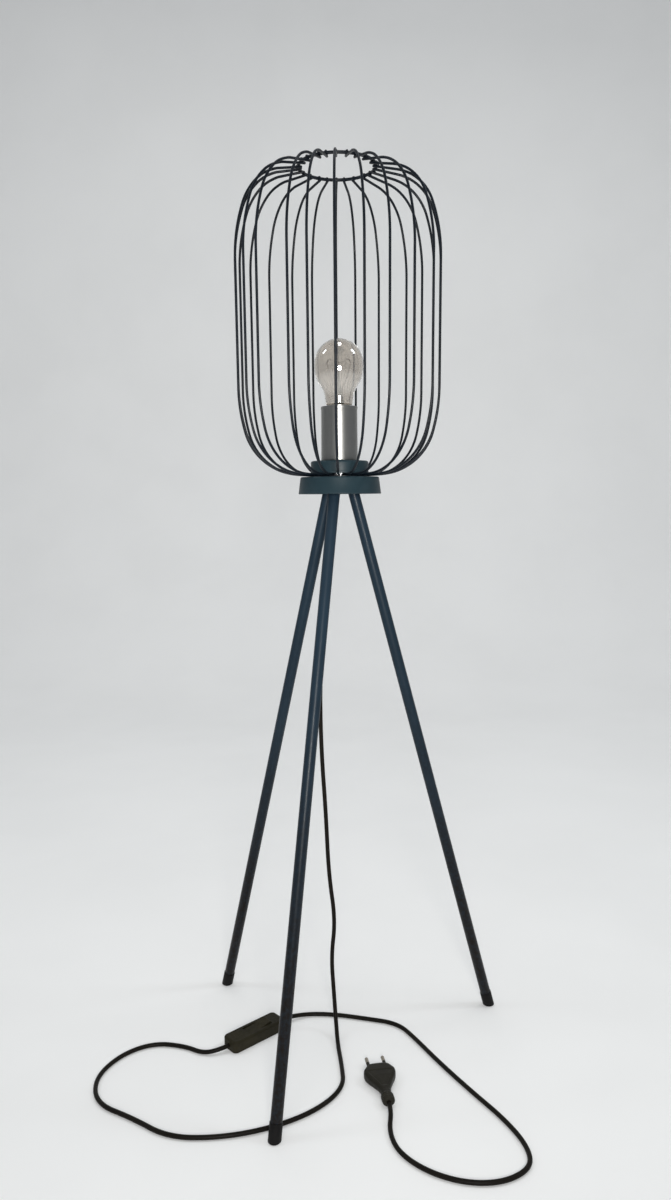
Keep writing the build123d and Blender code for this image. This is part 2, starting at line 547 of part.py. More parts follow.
# from the cord grip down between the legs, forward over the floor, round behind the front foot
# and in a wide loop to the switch
LAMP_ROUTE = [
    (0, 0, GRIP_TOP_Z), (0.3, 0, 674), (-0.9, 0.3, 656.5), (-6, 2.2, 622), (-13.9, 5.5, 560), (-21.8, 9.5, 488),
    (-25.2, 11.5, 416), (-24, 13, 344), (-19.6, 14.3, 272), (-17, 15.4, 196), (-9.4, 16, 138), (-14.8, 16, 92),
    (-12.2, 16, 48), (-9.8, 9, 13.5), (-7.5, -24, LOW), (-3, -62, LOW), (-0.5, -103, LOW), (-30, -141, LOW),
    (-78, -168.5, LOW), (-130, -181.5, LOW), (-180, -180, LOW), (-222, -151, LOW), (-266, -128, LOW),
    (-279, -84, LOW), (-260, -41, LOW), (-226, -18.5, LOW), (-188, -25, LOW), (-164, -39.5, LOW),
    switch_side(-SW_L / 2 - 10, SW_SPLIT), switch_side(-CORD_IN, SW_SPLIT)]
# from the switch over the floor to the right and round to the plug
PLUG_ROUTE = [
    switch_side(CORD_IN, SW_SPLIT), switch_side(SW_L / 2 + 9, SW_SPLIT), (-46, 42, LOW), (-12, 40.5, LOW),
    (26, 31, LOW), (66, 20, LOW), (85, -12, LOW), (107, -56, LOW), (137, -109, LOW), (166, -156, LOW),
    (181.5, -195, LOW), (180, -224, LOW), (152, -243, LOW), (116, -245, LOW), (80, -230.5, LOW),
    (53, -204, LOW), (45, -173, LOW), plug_side(-12, PLUG_Z), plug_side(8, PLUG_Z)]
keep("cord_lamp", route(LAMP_ROUTE, CORD_D, "cord_lamp"))
keep("cord_plug", route(PLUG_ROUTE, CORD_D, "cord_plug"))

print(len(MADE), "nodes")
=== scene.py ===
import math

import bmesh
import bpy
from mathutils import Matrix, Vector


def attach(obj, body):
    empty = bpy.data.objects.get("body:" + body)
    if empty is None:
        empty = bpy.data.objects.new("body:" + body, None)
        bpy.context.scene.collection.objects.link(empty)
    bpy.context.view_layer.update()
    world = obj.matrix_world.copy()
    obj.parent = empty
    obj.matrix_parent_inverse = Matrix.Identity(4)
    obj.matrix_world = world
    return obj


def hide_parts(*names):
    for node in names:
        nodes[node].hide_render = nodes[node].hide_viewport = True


# Wire cage floor lamp on a tripod: the looks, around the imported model. Sizes are typed in millimetres
# and turned to metres where a mesh or curve is made.
MM = 0.001
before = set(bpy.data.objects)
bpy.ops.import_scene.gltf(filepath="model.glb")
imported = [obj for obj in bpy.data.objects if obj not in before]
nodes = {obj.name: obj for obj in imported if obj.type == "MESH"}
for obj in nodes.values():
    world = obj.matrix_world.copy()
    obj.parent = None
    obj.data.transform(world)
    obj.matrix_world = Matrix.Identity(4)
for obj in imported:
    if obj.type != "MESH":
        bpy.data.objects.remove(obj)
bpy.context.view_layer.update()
scene = bpy.context.scene
scene.view_settings.view_transform = "Standard"


# ------------------------------------------------------------------ camera
YAW = math.radians(-0.3263)
PITCH = math.radians(6.3749)
ROLL = math.radians(-0.4877)
CAMERA_AT = (0.0, -1.04098, 0.64494)
FOCAL_LENGTH = 27.48
right = Vector((math.cos(YAW), -math.sin(YAW), 0))
ahead = Vector((math.sin(YAW) * math.cos(PITCH), math.cos(YAW) * math.cos(PITCH), -math.sin(PITCH)))
above = Vector((math.sin(YAW) * math.sin(PITCH), math.cos(YAW) * math.sin(PITCH), math.cos(PITCH)))
right, above = (right * math.cos(ROLL) + above * math.sin(ROLL),
                above * math.cos(ROLL) - right * math.sin(ROLL))
camera = bpy.data.objects.new("camera", bpy.data.cameras.new("camera"))
scene.collection.objects.link(camera)
camera.data.sensor_width = 36.0
camera.data.lens = FOCAL_LENGTH
camera.data.clip_start = 0.05
camera.data.clip_end = 60.0
turn = Matrix((right, above, -ahead)).transposed().to_4x4()
camera.matrix_world = Matrix.Translation(CAMERA_AT) @ turn
scene.camera = camera


# ------------------------------------------------------------------ the cords' routes, as in the part
SWITCH_AT = (-107.6, -4.5)
SWITCH_AZ = math.radians(42.5)
PLUG_AT = (47.3, -134.0)
PLUG_AZ = math.radians(99.5)
PLUG_Z = 6.85
SW_SPLIT = 6.5
CORD_R = 2.5
LOW = CORD_R


def switch_side(x, z):
    """A point on the switch's long axis."""
    return (SWITCH_AT[0] + x * math.cos(SWITCH_AZ), SWITCH_AT[1] + x * math.sin(SWITCH_AZ), z)


def plug_side(x, z):
    """A point on the plug's long axis."""
    return (PLUG_AT[0] + x * math.cos(PLUG_AZ), PLUG_AT[1] + x * math.sin(PLUG_AZ), z)


LAMP_ROUTE = [
    (0, 0, 700.8), (0.3, 0, 674), (-0.9, 0.3, 656.5), (-6, 2.2, 622), (-13.9, 5.5, 560), (-21.8, 9.5, 488),
    (-25.2, 11.5, 416), (-24, 13, 344), (-19.6, 14.3, 272), (-17, 15.4, 196), (-9.4, 16, 138),
    (-14.8, 16, 92), (-12.2, 16, 48), (-9.8, 9, 13.5), (-7.5, -24, LOW), (-3, -62, LOW), (-0.5, -103, LOW),
    (-30, -141, LOW), (-78, -168.5, LOW), (-130, -181.5, LOW), (-180, -180, LOW), (-222, -151, LOW),
    (-266, -128, LOW), (-279, -84, LOW), (-260, -41, LOW), (-226, -18.5, LOW), (-188, -25, LOW),
    (-164, -39.5, LOW), switch_side(-48, SW_SPLIT), switch_side(-34.2, SW_SPLIT)]
PLUG_ROUTE = [
    switch_side(34.2, SW_SPLIT), switch_side(47, SW_SPLIT), (-46, 42, LOW), (-12, 40.5, LOW), (26, 31, LOW),
    (66, 20, LOW), (85, -12, LOW), (107, -56, LOW), (137, -109, LOW), (166, -156, LOW), (181.5, -195, LOW),
    (180, -224, LOW), (152, -243, LOW), (116, -245, LOW), (80, -230.5, LOW), (53, -204, LOW),
    (45, -173, LOW), plug_side(-12, PLUG_Z), plug_side(8, PLUG_Z)]


def cord_curve(name, points):
    """A round cord along its route."""
    data = bpy.data.curves.new(name, "CURVE")
    data.dimensions = "3D"
    data.bevel_depth = CORD_R * MM
    data.bevel_resolution = 7
    data.use_fill_caps = True
    line = data.splines.new("NURBS")
    line.points.add(len(points) - 1)
    for spot, p in zip(line.points, points):
        spot.co = (p[0] * MM, p[1] * MM, p[2] * MM, 1.0)
    line.order_u = 3
    line.use_endpoint_u = True
    line.resolution_u = 14
    line.use_smooth = True
    obj = bpy.data.objects.new(name, data)
    scene.collection.objects.link(obj)
    return obj


lamp_cord = cord_curve("lamp_cord", LAMP_ROUTE)
plug_cord = cord_curve("plug_cord", PLUG_ROUTE)


# ------------------------------------------------------------------ materials
class Finish:
    """A node material whose grain, dust and wear come from the object's own coordinates."""

    def __init__(self, name, **sockets):
        self.mat = bpy.data.materials.new(name)
        self.mat.use_nodes = True
        self.tree = self.mat.node_tree
        self.shader = self.tree.nodes["Principled BSDF"]
        for key, value in sockets.items():
            label = key.replace("_", " ").title().replace("Ior", "IOR")
            self.shader.inputs[label].default_value = value
        self.coord = self.node("ShaderNodeTexCoord").outputs["Object"]

    def node(self, kind, links=None, **values):
        """A new node; each of links is a socket to join, or the value of an input."""
        n = self.tree.nodes.new(kind)
        for key, value in values.items():
            setattr(n, key, value)
        for key, value in (links or {}).items():
            if isinstance(value, bpy.types.NodeSocket):
                self.tree.links.new(value, n.inputs[key])
            else:
                n.inputs[key].default_value = value
        return n

    def noise(self, scale, detail=3.0, rough=0.55, stretch=None):
        at = self.coord
        if stretch:
            at = self.node("ShaderNodeMapping", {"Vector": self.coord, "Scale": stretch}).outputs["Vector"]
        n = self.node("ShaderNodeTexNoise",
                      {"Vector": at, "Scale": scale, "Detail": detail, "Roughness": rough})
        return n.outputs["Fac"]

    def span(self, value, low, high, to_low=0.0, to_high=1.0):
        """The value eased from to_low to to_high between low and high."""
        ends = {"From Min": low, "From Max": high, "To Min": to_low, "To Max": to_high}
        n = self.node("ShaderNodeMapRange", {"Value": value, **ends}, interpolation_type="SMOOTHSTEP")
        return n.outputs["Result"]

    def blend(self, fac, a, b):
        """The colour a, turned to b by fac."""
        n = self.node("ShaderNodeMix", data_type="RGBA")
        for key, value in (("Factor", fac), ("A", a), ("B", b)):
            socket = [s for s in n.inputs if s.name == key and s.enabled][0]
            if isinstance(value, bpy.types.NodeSocket):
                self.tree.links.new(value, socket)
            else:
                socket.default_value = value
        return [s for s in n.outputs if s.enabled][0]

    def math(self, how, a, b):
        return self.node("ShaderNodeMath", {0: a, 1: b}, operation=how).outputs["Value"]

    def times(self, a, b):
        return self.math("MULTIPLY", a, b)

    def plus(self, a, b):
        return self.math("ADD", a, b)

    def edges(self, low, high):
        """The sharp edges, where a finish wears."""
        point = self.node("ShaderNodeNewGeometry").outputs["Pointiness"]
        return self.span(point, low, high)

    def lint(self, scale, low, high, amount):
        """Patchy dust on what faces up."""
        normal = self.node("ShaderNodeNewGeometry").outputs["Normal"]
        up = self.node("ShaderNodeSeparateXYZ", {"Vector": normal}).outputs["Z"]
        patches = self.span(self.noise(scale, 4.0, 0.7), low, high)
        return self.times(self.span(up, 0.55, 0.98), self.times(patches, amount))

    def colour(self, value):
        self.tree.links.new(value, self.shader.inputs["Base Color"])

    def roughness(self, value):
        self.tree.links.new(value, self.shader.inputs["Roughness"])

    def bump(self, *layers):
        """Layers of (height, depth in mm), one on the other."""
        below = None
        for height, depth in layers:
            links = {"Height": height, "Distance": depth * MM, "Strength": 1.0}
            if below is not None:
                links["Normal"] = below
            below = self.node("ShaderNodeBump", links).outputs["Normal"]
        self.tree.links.new(below, self.shader.inputs["Normal"])


def shade(*rgb):
    """A colour given as it shows on a screen, 0 to 255, as linear light."""
    out = []
    for c in rgb:
        c /= 255.0
        out.append(c / 12.92 if c <= 0.04045 else ((c + 0.055) / 1.055) ** 2.4)
    return (*out, 1.0)


def toned(colour, factor, lift=0.0):
    """The colour made darker or paler."""
    return (*(min(1.0, c * factor + lift) for c in colour[:3]), 1.0)


def painted(name, colour, rough, peel, gloss=0.24, low=None):
    """Stoved near-black paint on steel: orange peel, slight clouding, a little dust on what faces up."""
    f = Finish(name, specular_ior_level=gloss)
    pale = toned(colour, 1.22)
    tone = f.blend(f.span(f.noise(9.0), 0.3, 0.7), toned(colour, 0.82), pale)
    if low:
        # painted reflection: the tubes' feet are made browner and darker than their tops, by height,
        # standing in for a brown floor mirrored in them
        height = f.node("ShaderNodeSeparateXYZ", {"Vector": f.coord}).outputs["Z"]
        tone = f.blend(f.span(height, 0.08, 0.5), low, tone)
    mottle = f.span(f.noise(260.0, 4.0, 0.6), 0.35, 0.68)
    tone = f.blend(f.times(mottle, 0.35), tone, pale)
    worn = f.times(f.edges(0.55, 0.7), f.span(f.noise(240.0, 2.0), 0.48, 0.66))
    tone = f.blend(f.times(worn, 0.2), tone, shade(70, 80, 88))
    lint = f.lint(420.0, 0.42, 0.8, 0.03)
    f.colour(f.blend(lint, tone, shade(140, 140, 136)))
    f.roughness(f.plus(f.span(f.noise(60.0, 4.0, 0.6), 0.35, 0.7, rough - 0.03, rough + 0.05), lint))
    f.bump((f.noise(700.0, 2.0, 0.5), peel), (f.noise(60.0, 2.0, 0.5), peel * 1.4))
    return f.mat


# low: the painted reflection of a brown floor on the legs' feet
leg_paint = painted("leg_paint", shade(30, 45, 57), 0.36, 0.003, gloss=0.18, low=shade(18, 11, 6))
cage_paint = painted("cage_paint", shade(12, 19, 27), 0.38, 0.004)
cup_paint = painted("cup_paint", shade(30, 47, 54), 0.44, 0.005)


def moulded(name, colour, rough, grain, grain_scale=900.0, dust=0.06):
    """Moulded rubber, plastic or nylon with a fine spark-eroded grain."""
    f = Finish(name, specular_ior_level=0.14)
    tone = f.blend(f.span(f.noise(38.0, 4.0), 0.32, 0.7), toned(colour, 0.8), toned(colour, 1.28))
    rubbed = f.times(f.edges(0.52, 0.64), f.span(f.noise(160.0, 3.0), 0.35, 0.65))
    tone = f.blend(f.times(rubbed, 0.22), tone, toned(colour, 3.0, 0.02))
    f.colour(f.blend(f.lint(520.0, 0.4, 0.78, dust), tone, shade(158, 154, 146)))
    f.roughness(f.span(f.noise(grain_scale * 0.5, 3.0), 0.3, 0.7, rough - 0.06, rough + 0.08))
    f.bump((f.noise(grain_scale, 3.0, 0.6), grain), (f.noise(70.0, 2.0), grain * 2.0))
    return f.mat


rubber = moulded("rubber", shade(16, 15, 15), 0.5, 0.02, dust=0.01)
holder_plastic = moulded("holder_plastic", shade(20, 20, 22), 0.36, 0.008)
switch_plastic = moulded("switch_plastic", shade(34, 31, 19), 0.5, 0.01, dust=0.01)
plug_plastic = moulded("plug_plastic", shade(36, 34, 28), 0.46, 0.012, dust=0.015)
nylon = moulded("nylon", shade(212, 208, 196), 0.45, 0.01)
sheath = moulded("sheath", shade(17, 13, 8), 0.45, 0.008, 650.0, dust=0.01)
core_brown = moulded("core_brown", shade(96, 58, 34), 0.42, 0.006)
core_blue = moulded("core_blue", shade(40, 84, 150), 0.42, 0.006)


def bare_metal(name, colour, rough):
    """Plated or drawn metal with fine drawn lines and a slight tarnish."""
    f = Finish(name, metallic=1.0)
    cloud = f.span(f.noise(120.0, 5.0, 0.6), 0.35, 0.75)
    f.colour(f.blend(f.times(cloud, 0.5), colour, toned(colour, 0.62)))
    lines = f.noise(900.0, 3.0, 0.6, stretch=(1.0, 1.0, 12.0))
    f.roughness(f.plus(f.span(lines, 0.3, 0.7, rough - 0.05, rough + 0.08), f.times(cloud, 0.1)))
    f.bump((lines, 0.004), (f.noise(180.0, 2.0), 0.006))
    return f.mat


zinc = bare_metal("zinc", shade(190, 192, 196), 0.34)
nickel = bare_metal("nickel", shade(196, 190, 180), 0.24)
pin_nickel = bare_metal("pin_nickel", shade(168, 160, 148), 0.24)
brass = bare_metal("brass", shade(205, 170, 96), 0.28)
cap_alloy = bare_metal("cap_alloy", shade(206, 204, 198), 0.3)
lead_wire = bare_metal("lead_wire", shade(170, 160, 150), 0.3)


def satin(name, colour, rough):
    """Nickel brushed round and round to a satin, with a few faint rubbed spots."""
    f = Finish(name, metallic=1.0, anisotropic=0.35, anisotropic_rotation=0.25)
    fine = f.noise(500.0, 2.0, 0.5, stretch=(0.12, 0.12, 8.0))
    smear = f.span(f.noise(70.0, 3.0), 0.4, 0.75)
    dimmed = f.plus(f.times(smear, 0.3), f.span(fine, 0.3, 0.7, 0.0, 0.16))
    f.colour(f.blend(dimmed, colour, toned(colour, 0.8)))
    f.roughness(f.plus(f.span(fine, 0.3, 0.7, rough - 0.02, rough + 0.02), f.times(smear, 0.03)))
    f.bump((fine, 0.0003))
    return f.mat


gunmetal = satin("gunmetal", shade(145, 145, 143), 0.38)


def glazed(name, colour, rough):
    """Glazed ceramic, with faint specks under the glaze."""
    f = Finish(name, coat_weight=0.6, coat_roughness=0.08)
    tone = f.blend(f.span(f.noise(60.0, 4.0), 0.35, 0.7), colour, toned(colour, 0.86))
    speck = f.span(f.noise(900.0, 2.0, 0.5), 0.72, 0.78)
    f.colour(f.blend(f.times(speck, 0.4), tone, shade(120, 108, 92)))
    f.roughness(f.span(f.noise(200.0, 3.0), 0.3, 0.7, rough - 0.04, rough + 0.06))
    f.bump((f.noise(240.0, 2.0), 0.01))
    return f.mat


porcelain = glazed("porcelain", shade(226, 220, 206), 0.3)
glass_black = glazed("glass_black", shade(20, 20, 24), 0.18)


def blown(name, tint, rough, ripple, mirror, rim):
    """Blown glass with slow ripples and a trace of haze, darker where it is seen edge on."""
    f = Finish(name, transmission_weight=1.0, ior=1.5, coat_weight=mirror, coat_ior=2.7,
               coat_roughness=0.01)
    tone = f.blend(f.span(f.noise(45.0, 3.0), 0.5, 0.8), tint, toned(tint, 0.93))
    facing = f.node("ShaderNodeLayerWeight", {"Blend": 0.5}).outputs["Facing"]
    f.colour(f.blend(f.times(f.span(facing, 0.72, 0.98), rim), tone, toned(tint, 0.2)))
    f.roughness(f.span(f.noise(300.0, 4.0), 0.55, 0.85, rough, rough + 0.02))
    f.bump((f.noise(22.0, 1.0), ripple), (f.noise(90.0, 2.0), ripple * 0.25))
    return f.mat


bulb_smoke = blown("bulb_smoke", (0.90, 0.845, 0.775, 1.0), 0.004, 0.05, mirror=1.0, rim=0.9)
stem_clear = blown("stem_clear", (0.80, 0.82, 0.81, 1.0), 0.01, 0.08, mirror=0.0, rim=0.8)


# ------------------------------------------------------------------ mesh helpers
class Build:
    """Collects points in mm and faces of one piece."""

    def __init__(self):
        self.verts = []
        self.faces = []

    def add(self, part, place=None):
        verts, faces = part
        start = len(self.verts)
        self.verts += [tuple(place @ Vector(v)) for v in verts] if place else list(verts)
        self.faces += [tuple(i + start for i in face) for face in faces]

    def piece(self, name, mat, sharp=38.0):
        """One mesh piece; edges turned by more than sharp degrees stay crisp."""
        mesh = bpy.data.meshes.new(name)
        mesh.from_pydata([(x * MM, y * MM, z * MM) for x, y, z in self.verts], [], self.faces)
        work = bmesh.new()
        work.from_mesh(mesh)
        bmesh.ops.recalc_face_normals(work, faces=work.faces)
        work.to_mesh(mesh)
        work.free()
        mesh.shade_smooth()
        mesh.set_sharp_from_angle(angle=math.radians(sharp))
        mesh.materials.append(mat)
        obj = bpy.data.objects.new(name, mesh)
        scene.collection.objects.link(obj)
        return obj


def softened(rows, size):
    """A closed outline with each corner rounded off by up to size."""
    steps = 4
    most = 0.42             # share of an edge that one corner may take
    out = []
    for i, (r, z) in enumerate(rows):
        at = Vector((r, z))
        back = Vector(rows[i - 1]) - at
        on = Vector(rows[(i + 1) % len(rows)]) - at
        cut = min(size, most * back.length, most * on.length)
        straight = abs(back.normalized().dot(on.normalized())) > 0.999
        if r < 1e-6 or cut < 1e-4 or straight:
            out.append((r, z))
            continue
        a = at + back.normalized() * cut
        b = at + on.normalized() * cut
        for k in range(steps + 1):
            t = k / steps
            p = a * (1 - t) ** 2 + at * 2 * t * (1 - t) + b * t * t
            out.append((p.x, p.y))
    return out


def lathe(rows, segments):
    """Points and faces of a closed outline of (radius, height) turned about Z."""
    verts = []
    rings = []
    for r, z in rows:
        if r < 1e-6:
            rings.append([len(verts)] * segments)
            verts.append((0.0, 0.0, z))
            continue
        rings.append(list(range(len(verts), len(verts) + segments)))
        for k in range(segments):
            a = 2 * math.pi * k / segments
            verts.append((r * math.cos(a), r * math.sin(a), z))
    faces = []
    for i, ring in enumerate(rings):
        other = rings[(i + 1) % len(rings)]
        for k in range(segments):
            n = (k + 1) % segments
            face = [ring[k], ring[n], other[n], other[k]]
            face = [v for j, v in enumerate(face) if v != face[j - 1]]
            if len(face) > 2:
                faces.append(tuple(face))
    return verts, faces


def strips(rows, around, start=0, closed=False):
    """Faces between rows of points, each row a ring of the same count."""
    faces = []
    for i in range(rows if closed else rows - 1):
        a = start + i * around
        b = start + (i + 1) % rows * around
        for k in range(around):
            n = (k + 1) % around
            faces.append((a + k, a + n, b + n, b + k))
    return faces


def arc(cx, cz, r, start, end, steps):
    """Points of an arc, from one angle in degrees to another."""
    turns = [math.radians(start + (end - start) * k / steps) for k in range(steps + 1)]
    return [(cx + r * math.cos(a), cz + r * math.sin(a)) for a in turns]


def filleted(points, radii, step):
    """Points along straight runs joined by arcs of the given radii."""
    pts = [Vector(p) for p in points]
    out = [pts[0]]
    for a, b, c, r in zip(pts, pts[1:], pts[2:], radii):
        u = (a - b).normalized()
        v = (c - b).normalized()
        bend = u.angle(v)
        reach = r / math.tan(bend / 2)
        centre = b + (u + v).normalized() * (r / math.sin(bend / 2))
        first = b + u * reach - centre
        last = b + v * reach - centre
        sweep = math.pi - bend
        steps = max(3, math.ceil(sweep * r / step))
        for k in range(steps + 1):
            t = k / steps
            mix = first * math.sin((1 - t) * sweep) + last * math.sin(t * sweep)
            out.append(centre + mix / math.sin(sweep))
    out.append(pts[-1])
    return out


def tube(points, radius, segments, closed=False):
    """A round bar along points, its ends rounded; radius is a number, or one for each point."""
    pts = [Vector(p) for p in points]
    count = len(pts)
    sizes = radius if isinstance(radius, list) else [radius] * count
    ways = []
    for i in range(count):
        before = pts[i - 1] if (i or closed) else pts[0]
        after = pts[(i + 1) % count] if (i < count - 1 or closed) else pts[-1]
        ways.append((after - before).normalized())
    if not closed:
        tip = [(0.3, 0.86), (0.5, 0.5)]     # how far out, and how wide there, as shares of the radius
        pts = ([pts[0] - ways[0] * sizes[0] * out for out, _ in tip[::-1]] + pts
               + [pts[-1] + ways[-1] * sizes[-1] * out for out, _ in tip])
        sizes = ([sizes[0] * wide for _, wide in tip[::-1]] + sizes
                 + [sizes[-1] * wide for _, wide in tip])
        ways = ways[:1] * 2 + ways + ways[-1:] * 2
    side = ways[0].orthogonal().normalized()
    verts = []
    for p, way, size in zip(pts, ways, sizes):
        side = (side - way * side.dot(way)).normalized()
        other = way.cross(side)
        for k in range(segments):
            a = 2 * math.pi * k / segments
            verts.append(tuple(p + side * (size * math.cos(a)) + other * (size * math.sin(a))))
    total = len(pts)
    faces = strips(total, segments, closed=closed)
    if not closed:
        faces.append(tuple(range(segments)))
        faces.append(tuple((total - 1) * segments + k for k in range(segments)))
    return verts, faces


def bead(at, out_way, length, width, height, seed):
    """A small uneven weld bead, long along out_way."""
    way = Vector(out_way).normalized()
    up = Vector((0, 0, 1))
    up = (up - way * up.dot(way)).normalized()
    side = way.cross(up)
    verts = []
    rings = 7
    around = 12
    for i in range(1, rings):
        t = math.pi * i / rings
        for k in range(around):
            a = 2 * math.pi * k / around
            swell = 1.0 + 0.10 * math.sin(3 * a + seed * 1.7 + i) + 0.07 * math.sin(5 * t + seed * 2.3)
            p = way * (math.cos(t) * length) + side * (math.sin(t) * math.cos(a) * width * swell)
            p += up * (math.sin(t) * math.sin(a) * height * swell)
            verts.append(tuple(Vector(at) + p))
    faces = strips(rings - 1, around)
    for end, low in ((1, 0), (-1, (rings - 2) * around)):
        tip = len(verts)
        verts.append(tuple(Vector(at) + way * (end * length)))
        for k in range(around):
            faces.append((low + k, low + (k + 1) % around, tip))
    return verts, faces


def ramp(value, low, high):
    """0 up to low, 1 from high on, eased between them."""
    t = min(1.0, max(0.0, (value - low) / (high - low)))
    return t * t * (3 - 2 * t)


def smooth_through(points, steps):
    """Points on a Catmull-Rom line through the given ones."""
    pts = [Vector(p) for p in points]
    pts = [pts[0] * 2 - pts[1]] + pts + [pts[-1] * 2 - pts[-2]]
    out = []
    for a, b, c, d in zip(pts, pts[1:], pts[2:], pts[3:]):
        for k in range(steps):
            t = k / steps
            out.append(0.5 * (2 * b + (c - a) * t + (2 * a - 5 * b + 4 * c - d) * t * t
                              + (3 * b - a - 3 * c + d) * t ** 3))
    out.append(pts[-2])
    return out


def stand_in(obj, body, slot, *solids):
    """Ties a drawn piece to its body and hides the solids it stands in for; slot is not used."""
    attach(obj, body)
    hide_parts(*solids)


# ------------------------------------------------------------------ legs and feet
LEGS = {"front": 248.8, "left": 142.4, "right": 19.8}
FOOT_R = 196.6
HEAD_R = 17.0
CUP_RIM_Z = 649.0
LEG_SLOPE = (FOOT_R - HEAD_R) / CUP_RIM_Z
TUBE_LOW_Z = 4.2
TUBE_HIGH_Z = 655.0
TUBE_R = 6.35
TUBE_BORE_R = 5.15
TUBE_BORE = 24.0            # depth of the open upper end
FERRULE_R = 6.95
FERRULE_BORE_R = 6.4
FERRULE_H = 14.0
FERRULE_SPARE = 12.0        # length below the tube, before it is cut level with the floor
SOLE_EDGE = 0.9
LEG_SEGMENTS = 64


def on_leg(azimuth, z):
    r = HEAD_R + (CUP_RIM_Z - z) * LEG_SLOPE
    return Vector((r * math.cos(azimuth), r * math.sin(azimuth), z))


def cut_level(obj):
    """Cuts a slanted foot off at the floor and eases the new edge."""
    work = bmesh.new()
    work.from_mesh(obj.data)
    cut = bmesh.ops.bisect_plane(work, geom=work.verts[:] + work.edges[:] + work.faces[:],
                                 plane_co=(0, 0, 0), plane_no=(0, 0, 1), clear_inner=True)
    rim = [e for e in cut["geom_cut"] if isinstance(e, bmesh.types.BMEdge)]
    bmesh.ops.contextual_create(work, geom=rim)
    bmesh.ops.bevel(work, geom=rim, offset=SOLE_EDGE * MM, segments=3, affect="EDGES", clamp_overlap=True)
    bmesh.ops.recalc_face_normals(work, faces=work.faces)
    work.to_mesh(obj.data)
    work.free()
    obj.data.shade_smooth()
    obj.data.set_sharp_from_angle(angle=math.radians(50))


for name, degrees in LEGS.items():
    azimuth = math.radians(degrees)
    foot_end = on_leg(azimuth, TUBE_LOW_Z)
    head_end = on_leg(azimuth, TUBE_HIGH_Z)
    up = (head_end - foot_end).normalized()
    outward = Vector((math.cos(azimuth), math.sin(azimuth), 0))
    x_axis = (outward - up * outward.dot(up)).normalized()
    place = Matrix((x_axis, up.cross(x_axis), up)).transposed().to_4x4()
    place.translation = foot_end
    length = (head_end - foot_end).length
    rows = [(0, 0), (TUBE_R, 0), (TUBE_R, length), (TUBE_BORE_R, length), (TUBE_BORE_R, length - TUBE_BORE),
            (0, length - TUBE_BORE)]
    leg = Build()
    leg.add(lathe(softened(rows, 0.5), LEG_SEGMENTS), place)
    stand_in(leg.piece("tube_" + name, leg_paint), "stand", "black_paint", "leg_" + name)

    rows = [(0, -FERRULE_SPARE), (FERRULE_R, -FERRULE_SPARE), (FERRULE_R, FERRULE_H),
            (FERRULE_BORE_R, FERRULE_H), (FERRULE_BORE_R, 0), (0, 0)]
    ferrule = Build()
    ferrule.add(lathe(softened(rows, 0.5), LEG_SEGMENTS), place)
    foot = ferrule.piece("ferrule_" + name, rubber)
    cut_level(foot)
    stand_in(foot, "stand", "black_rubber", "foot_cap_" + name)


# ------------------------------------------------------------------ head cup, cap and socket cover
CUP_TOP_Z = 668.0
CUP_TOP_R = 44.4
CUP_RIM_R = 46.6
SHEET = 1.2
CAP_BASE_Z = 671.8
CAP_TOP_Z = 685.8
CAP_R = 32.5
COVER_TOP_Z = 745.7
COVER_R = 20.5
COVER_T = 0.8
NIPPLE_HOLE = 5.1

outer = [(NIPPLE_HOLE, CUP_TOP_Z), (42.6, CUP_TOP_Z)] + arc(CUP_TOP_R - 2, CUP_TOP_Z - 2, 2.0, 84, 6, 7)
lip = arc(CUP_RIM_R - 1, CUP_RIM_Z + 1, 1.0, 40, -200, 14)
inner = ([(44.6, 652.4), (43.1, 665.6)] + arc(41.9, 665.8, 1.0, 10, 88, 4)
         + [(NIPPLE_HOLE, CUP_TOP_Z - SHEET)])
cup = Build()
cup.add(lathe(outer + lip + inner, 128))
stand_in(cup.piece("cup_shell", cup_paint), "stand", "black_paint", "head_cup")

bend_r, bend_z = CAP_R - 2.4, CAP_TOP_Z - 2.4
wall_r = CAP_R - SHEET
outer = [(NIPPLE_HOLE, CAP_TOP_Z), (30.0, CAP_TOP_Z)] + arc(bend_r, bend_z, 2.4, 88, 4, 8)
lower = softened([(CAP_R, CAP_BASE_Z + 3), (CAP_R, CAP_BASE_Z), (wall_r, CAP_BASE_Z),
                  (wall_r, CAP_BASE_Z + 3)], 0.4)
inner = ([(wall_r, CAP_TOP_Z - 2.6)] + arc(bend_r, bend_z, 1.2, 6, 88, 4)
         + [(NIPPLE_HOLE, CAP_TOP_Z - SHEET)])
cap = Build()
cap.add(lathe(outer + lower + inner, 112))
stand_in(cap.piece("cap_shell", cup_paint), "stand", "black_paint", "cage_cap")

wall_r = COVER_R - COVER_T
outer = [(NIPPLE_HOLE, CAP_TOP_Z)] + arc(COVER_R - 1.2, CAP_TOP_Z + 1.2, 1.2, -90, 0, 5)
rim = softened([(COVER_R, COVER_TOP_Z - 3), (COVER_R, COVER_TOP_Z), (wall_r, COVER_TOP_Z),
                (wall_r, COVER_TOP_Z - 3)], 0.34)
inner = [(wall_r, CAP_TOP_Z + 1.6), (wall_r - 0.4, CAP_TOP_Z + 1.0), (NIPPLE_HOLE, CAP_TOP_Z + 1.0)]
cover = Build()
cover.add(lathe(outer + rim + inner, 112))
stand_in(cover.piece("cover_shell", gunmetal), "stand", "nickel", "socket_cover")


# ------------------------------------------------------------------ cage
WIRE_R = 1.4
WIRE_COUNT = 24
WIRE_PHASE = -89.7
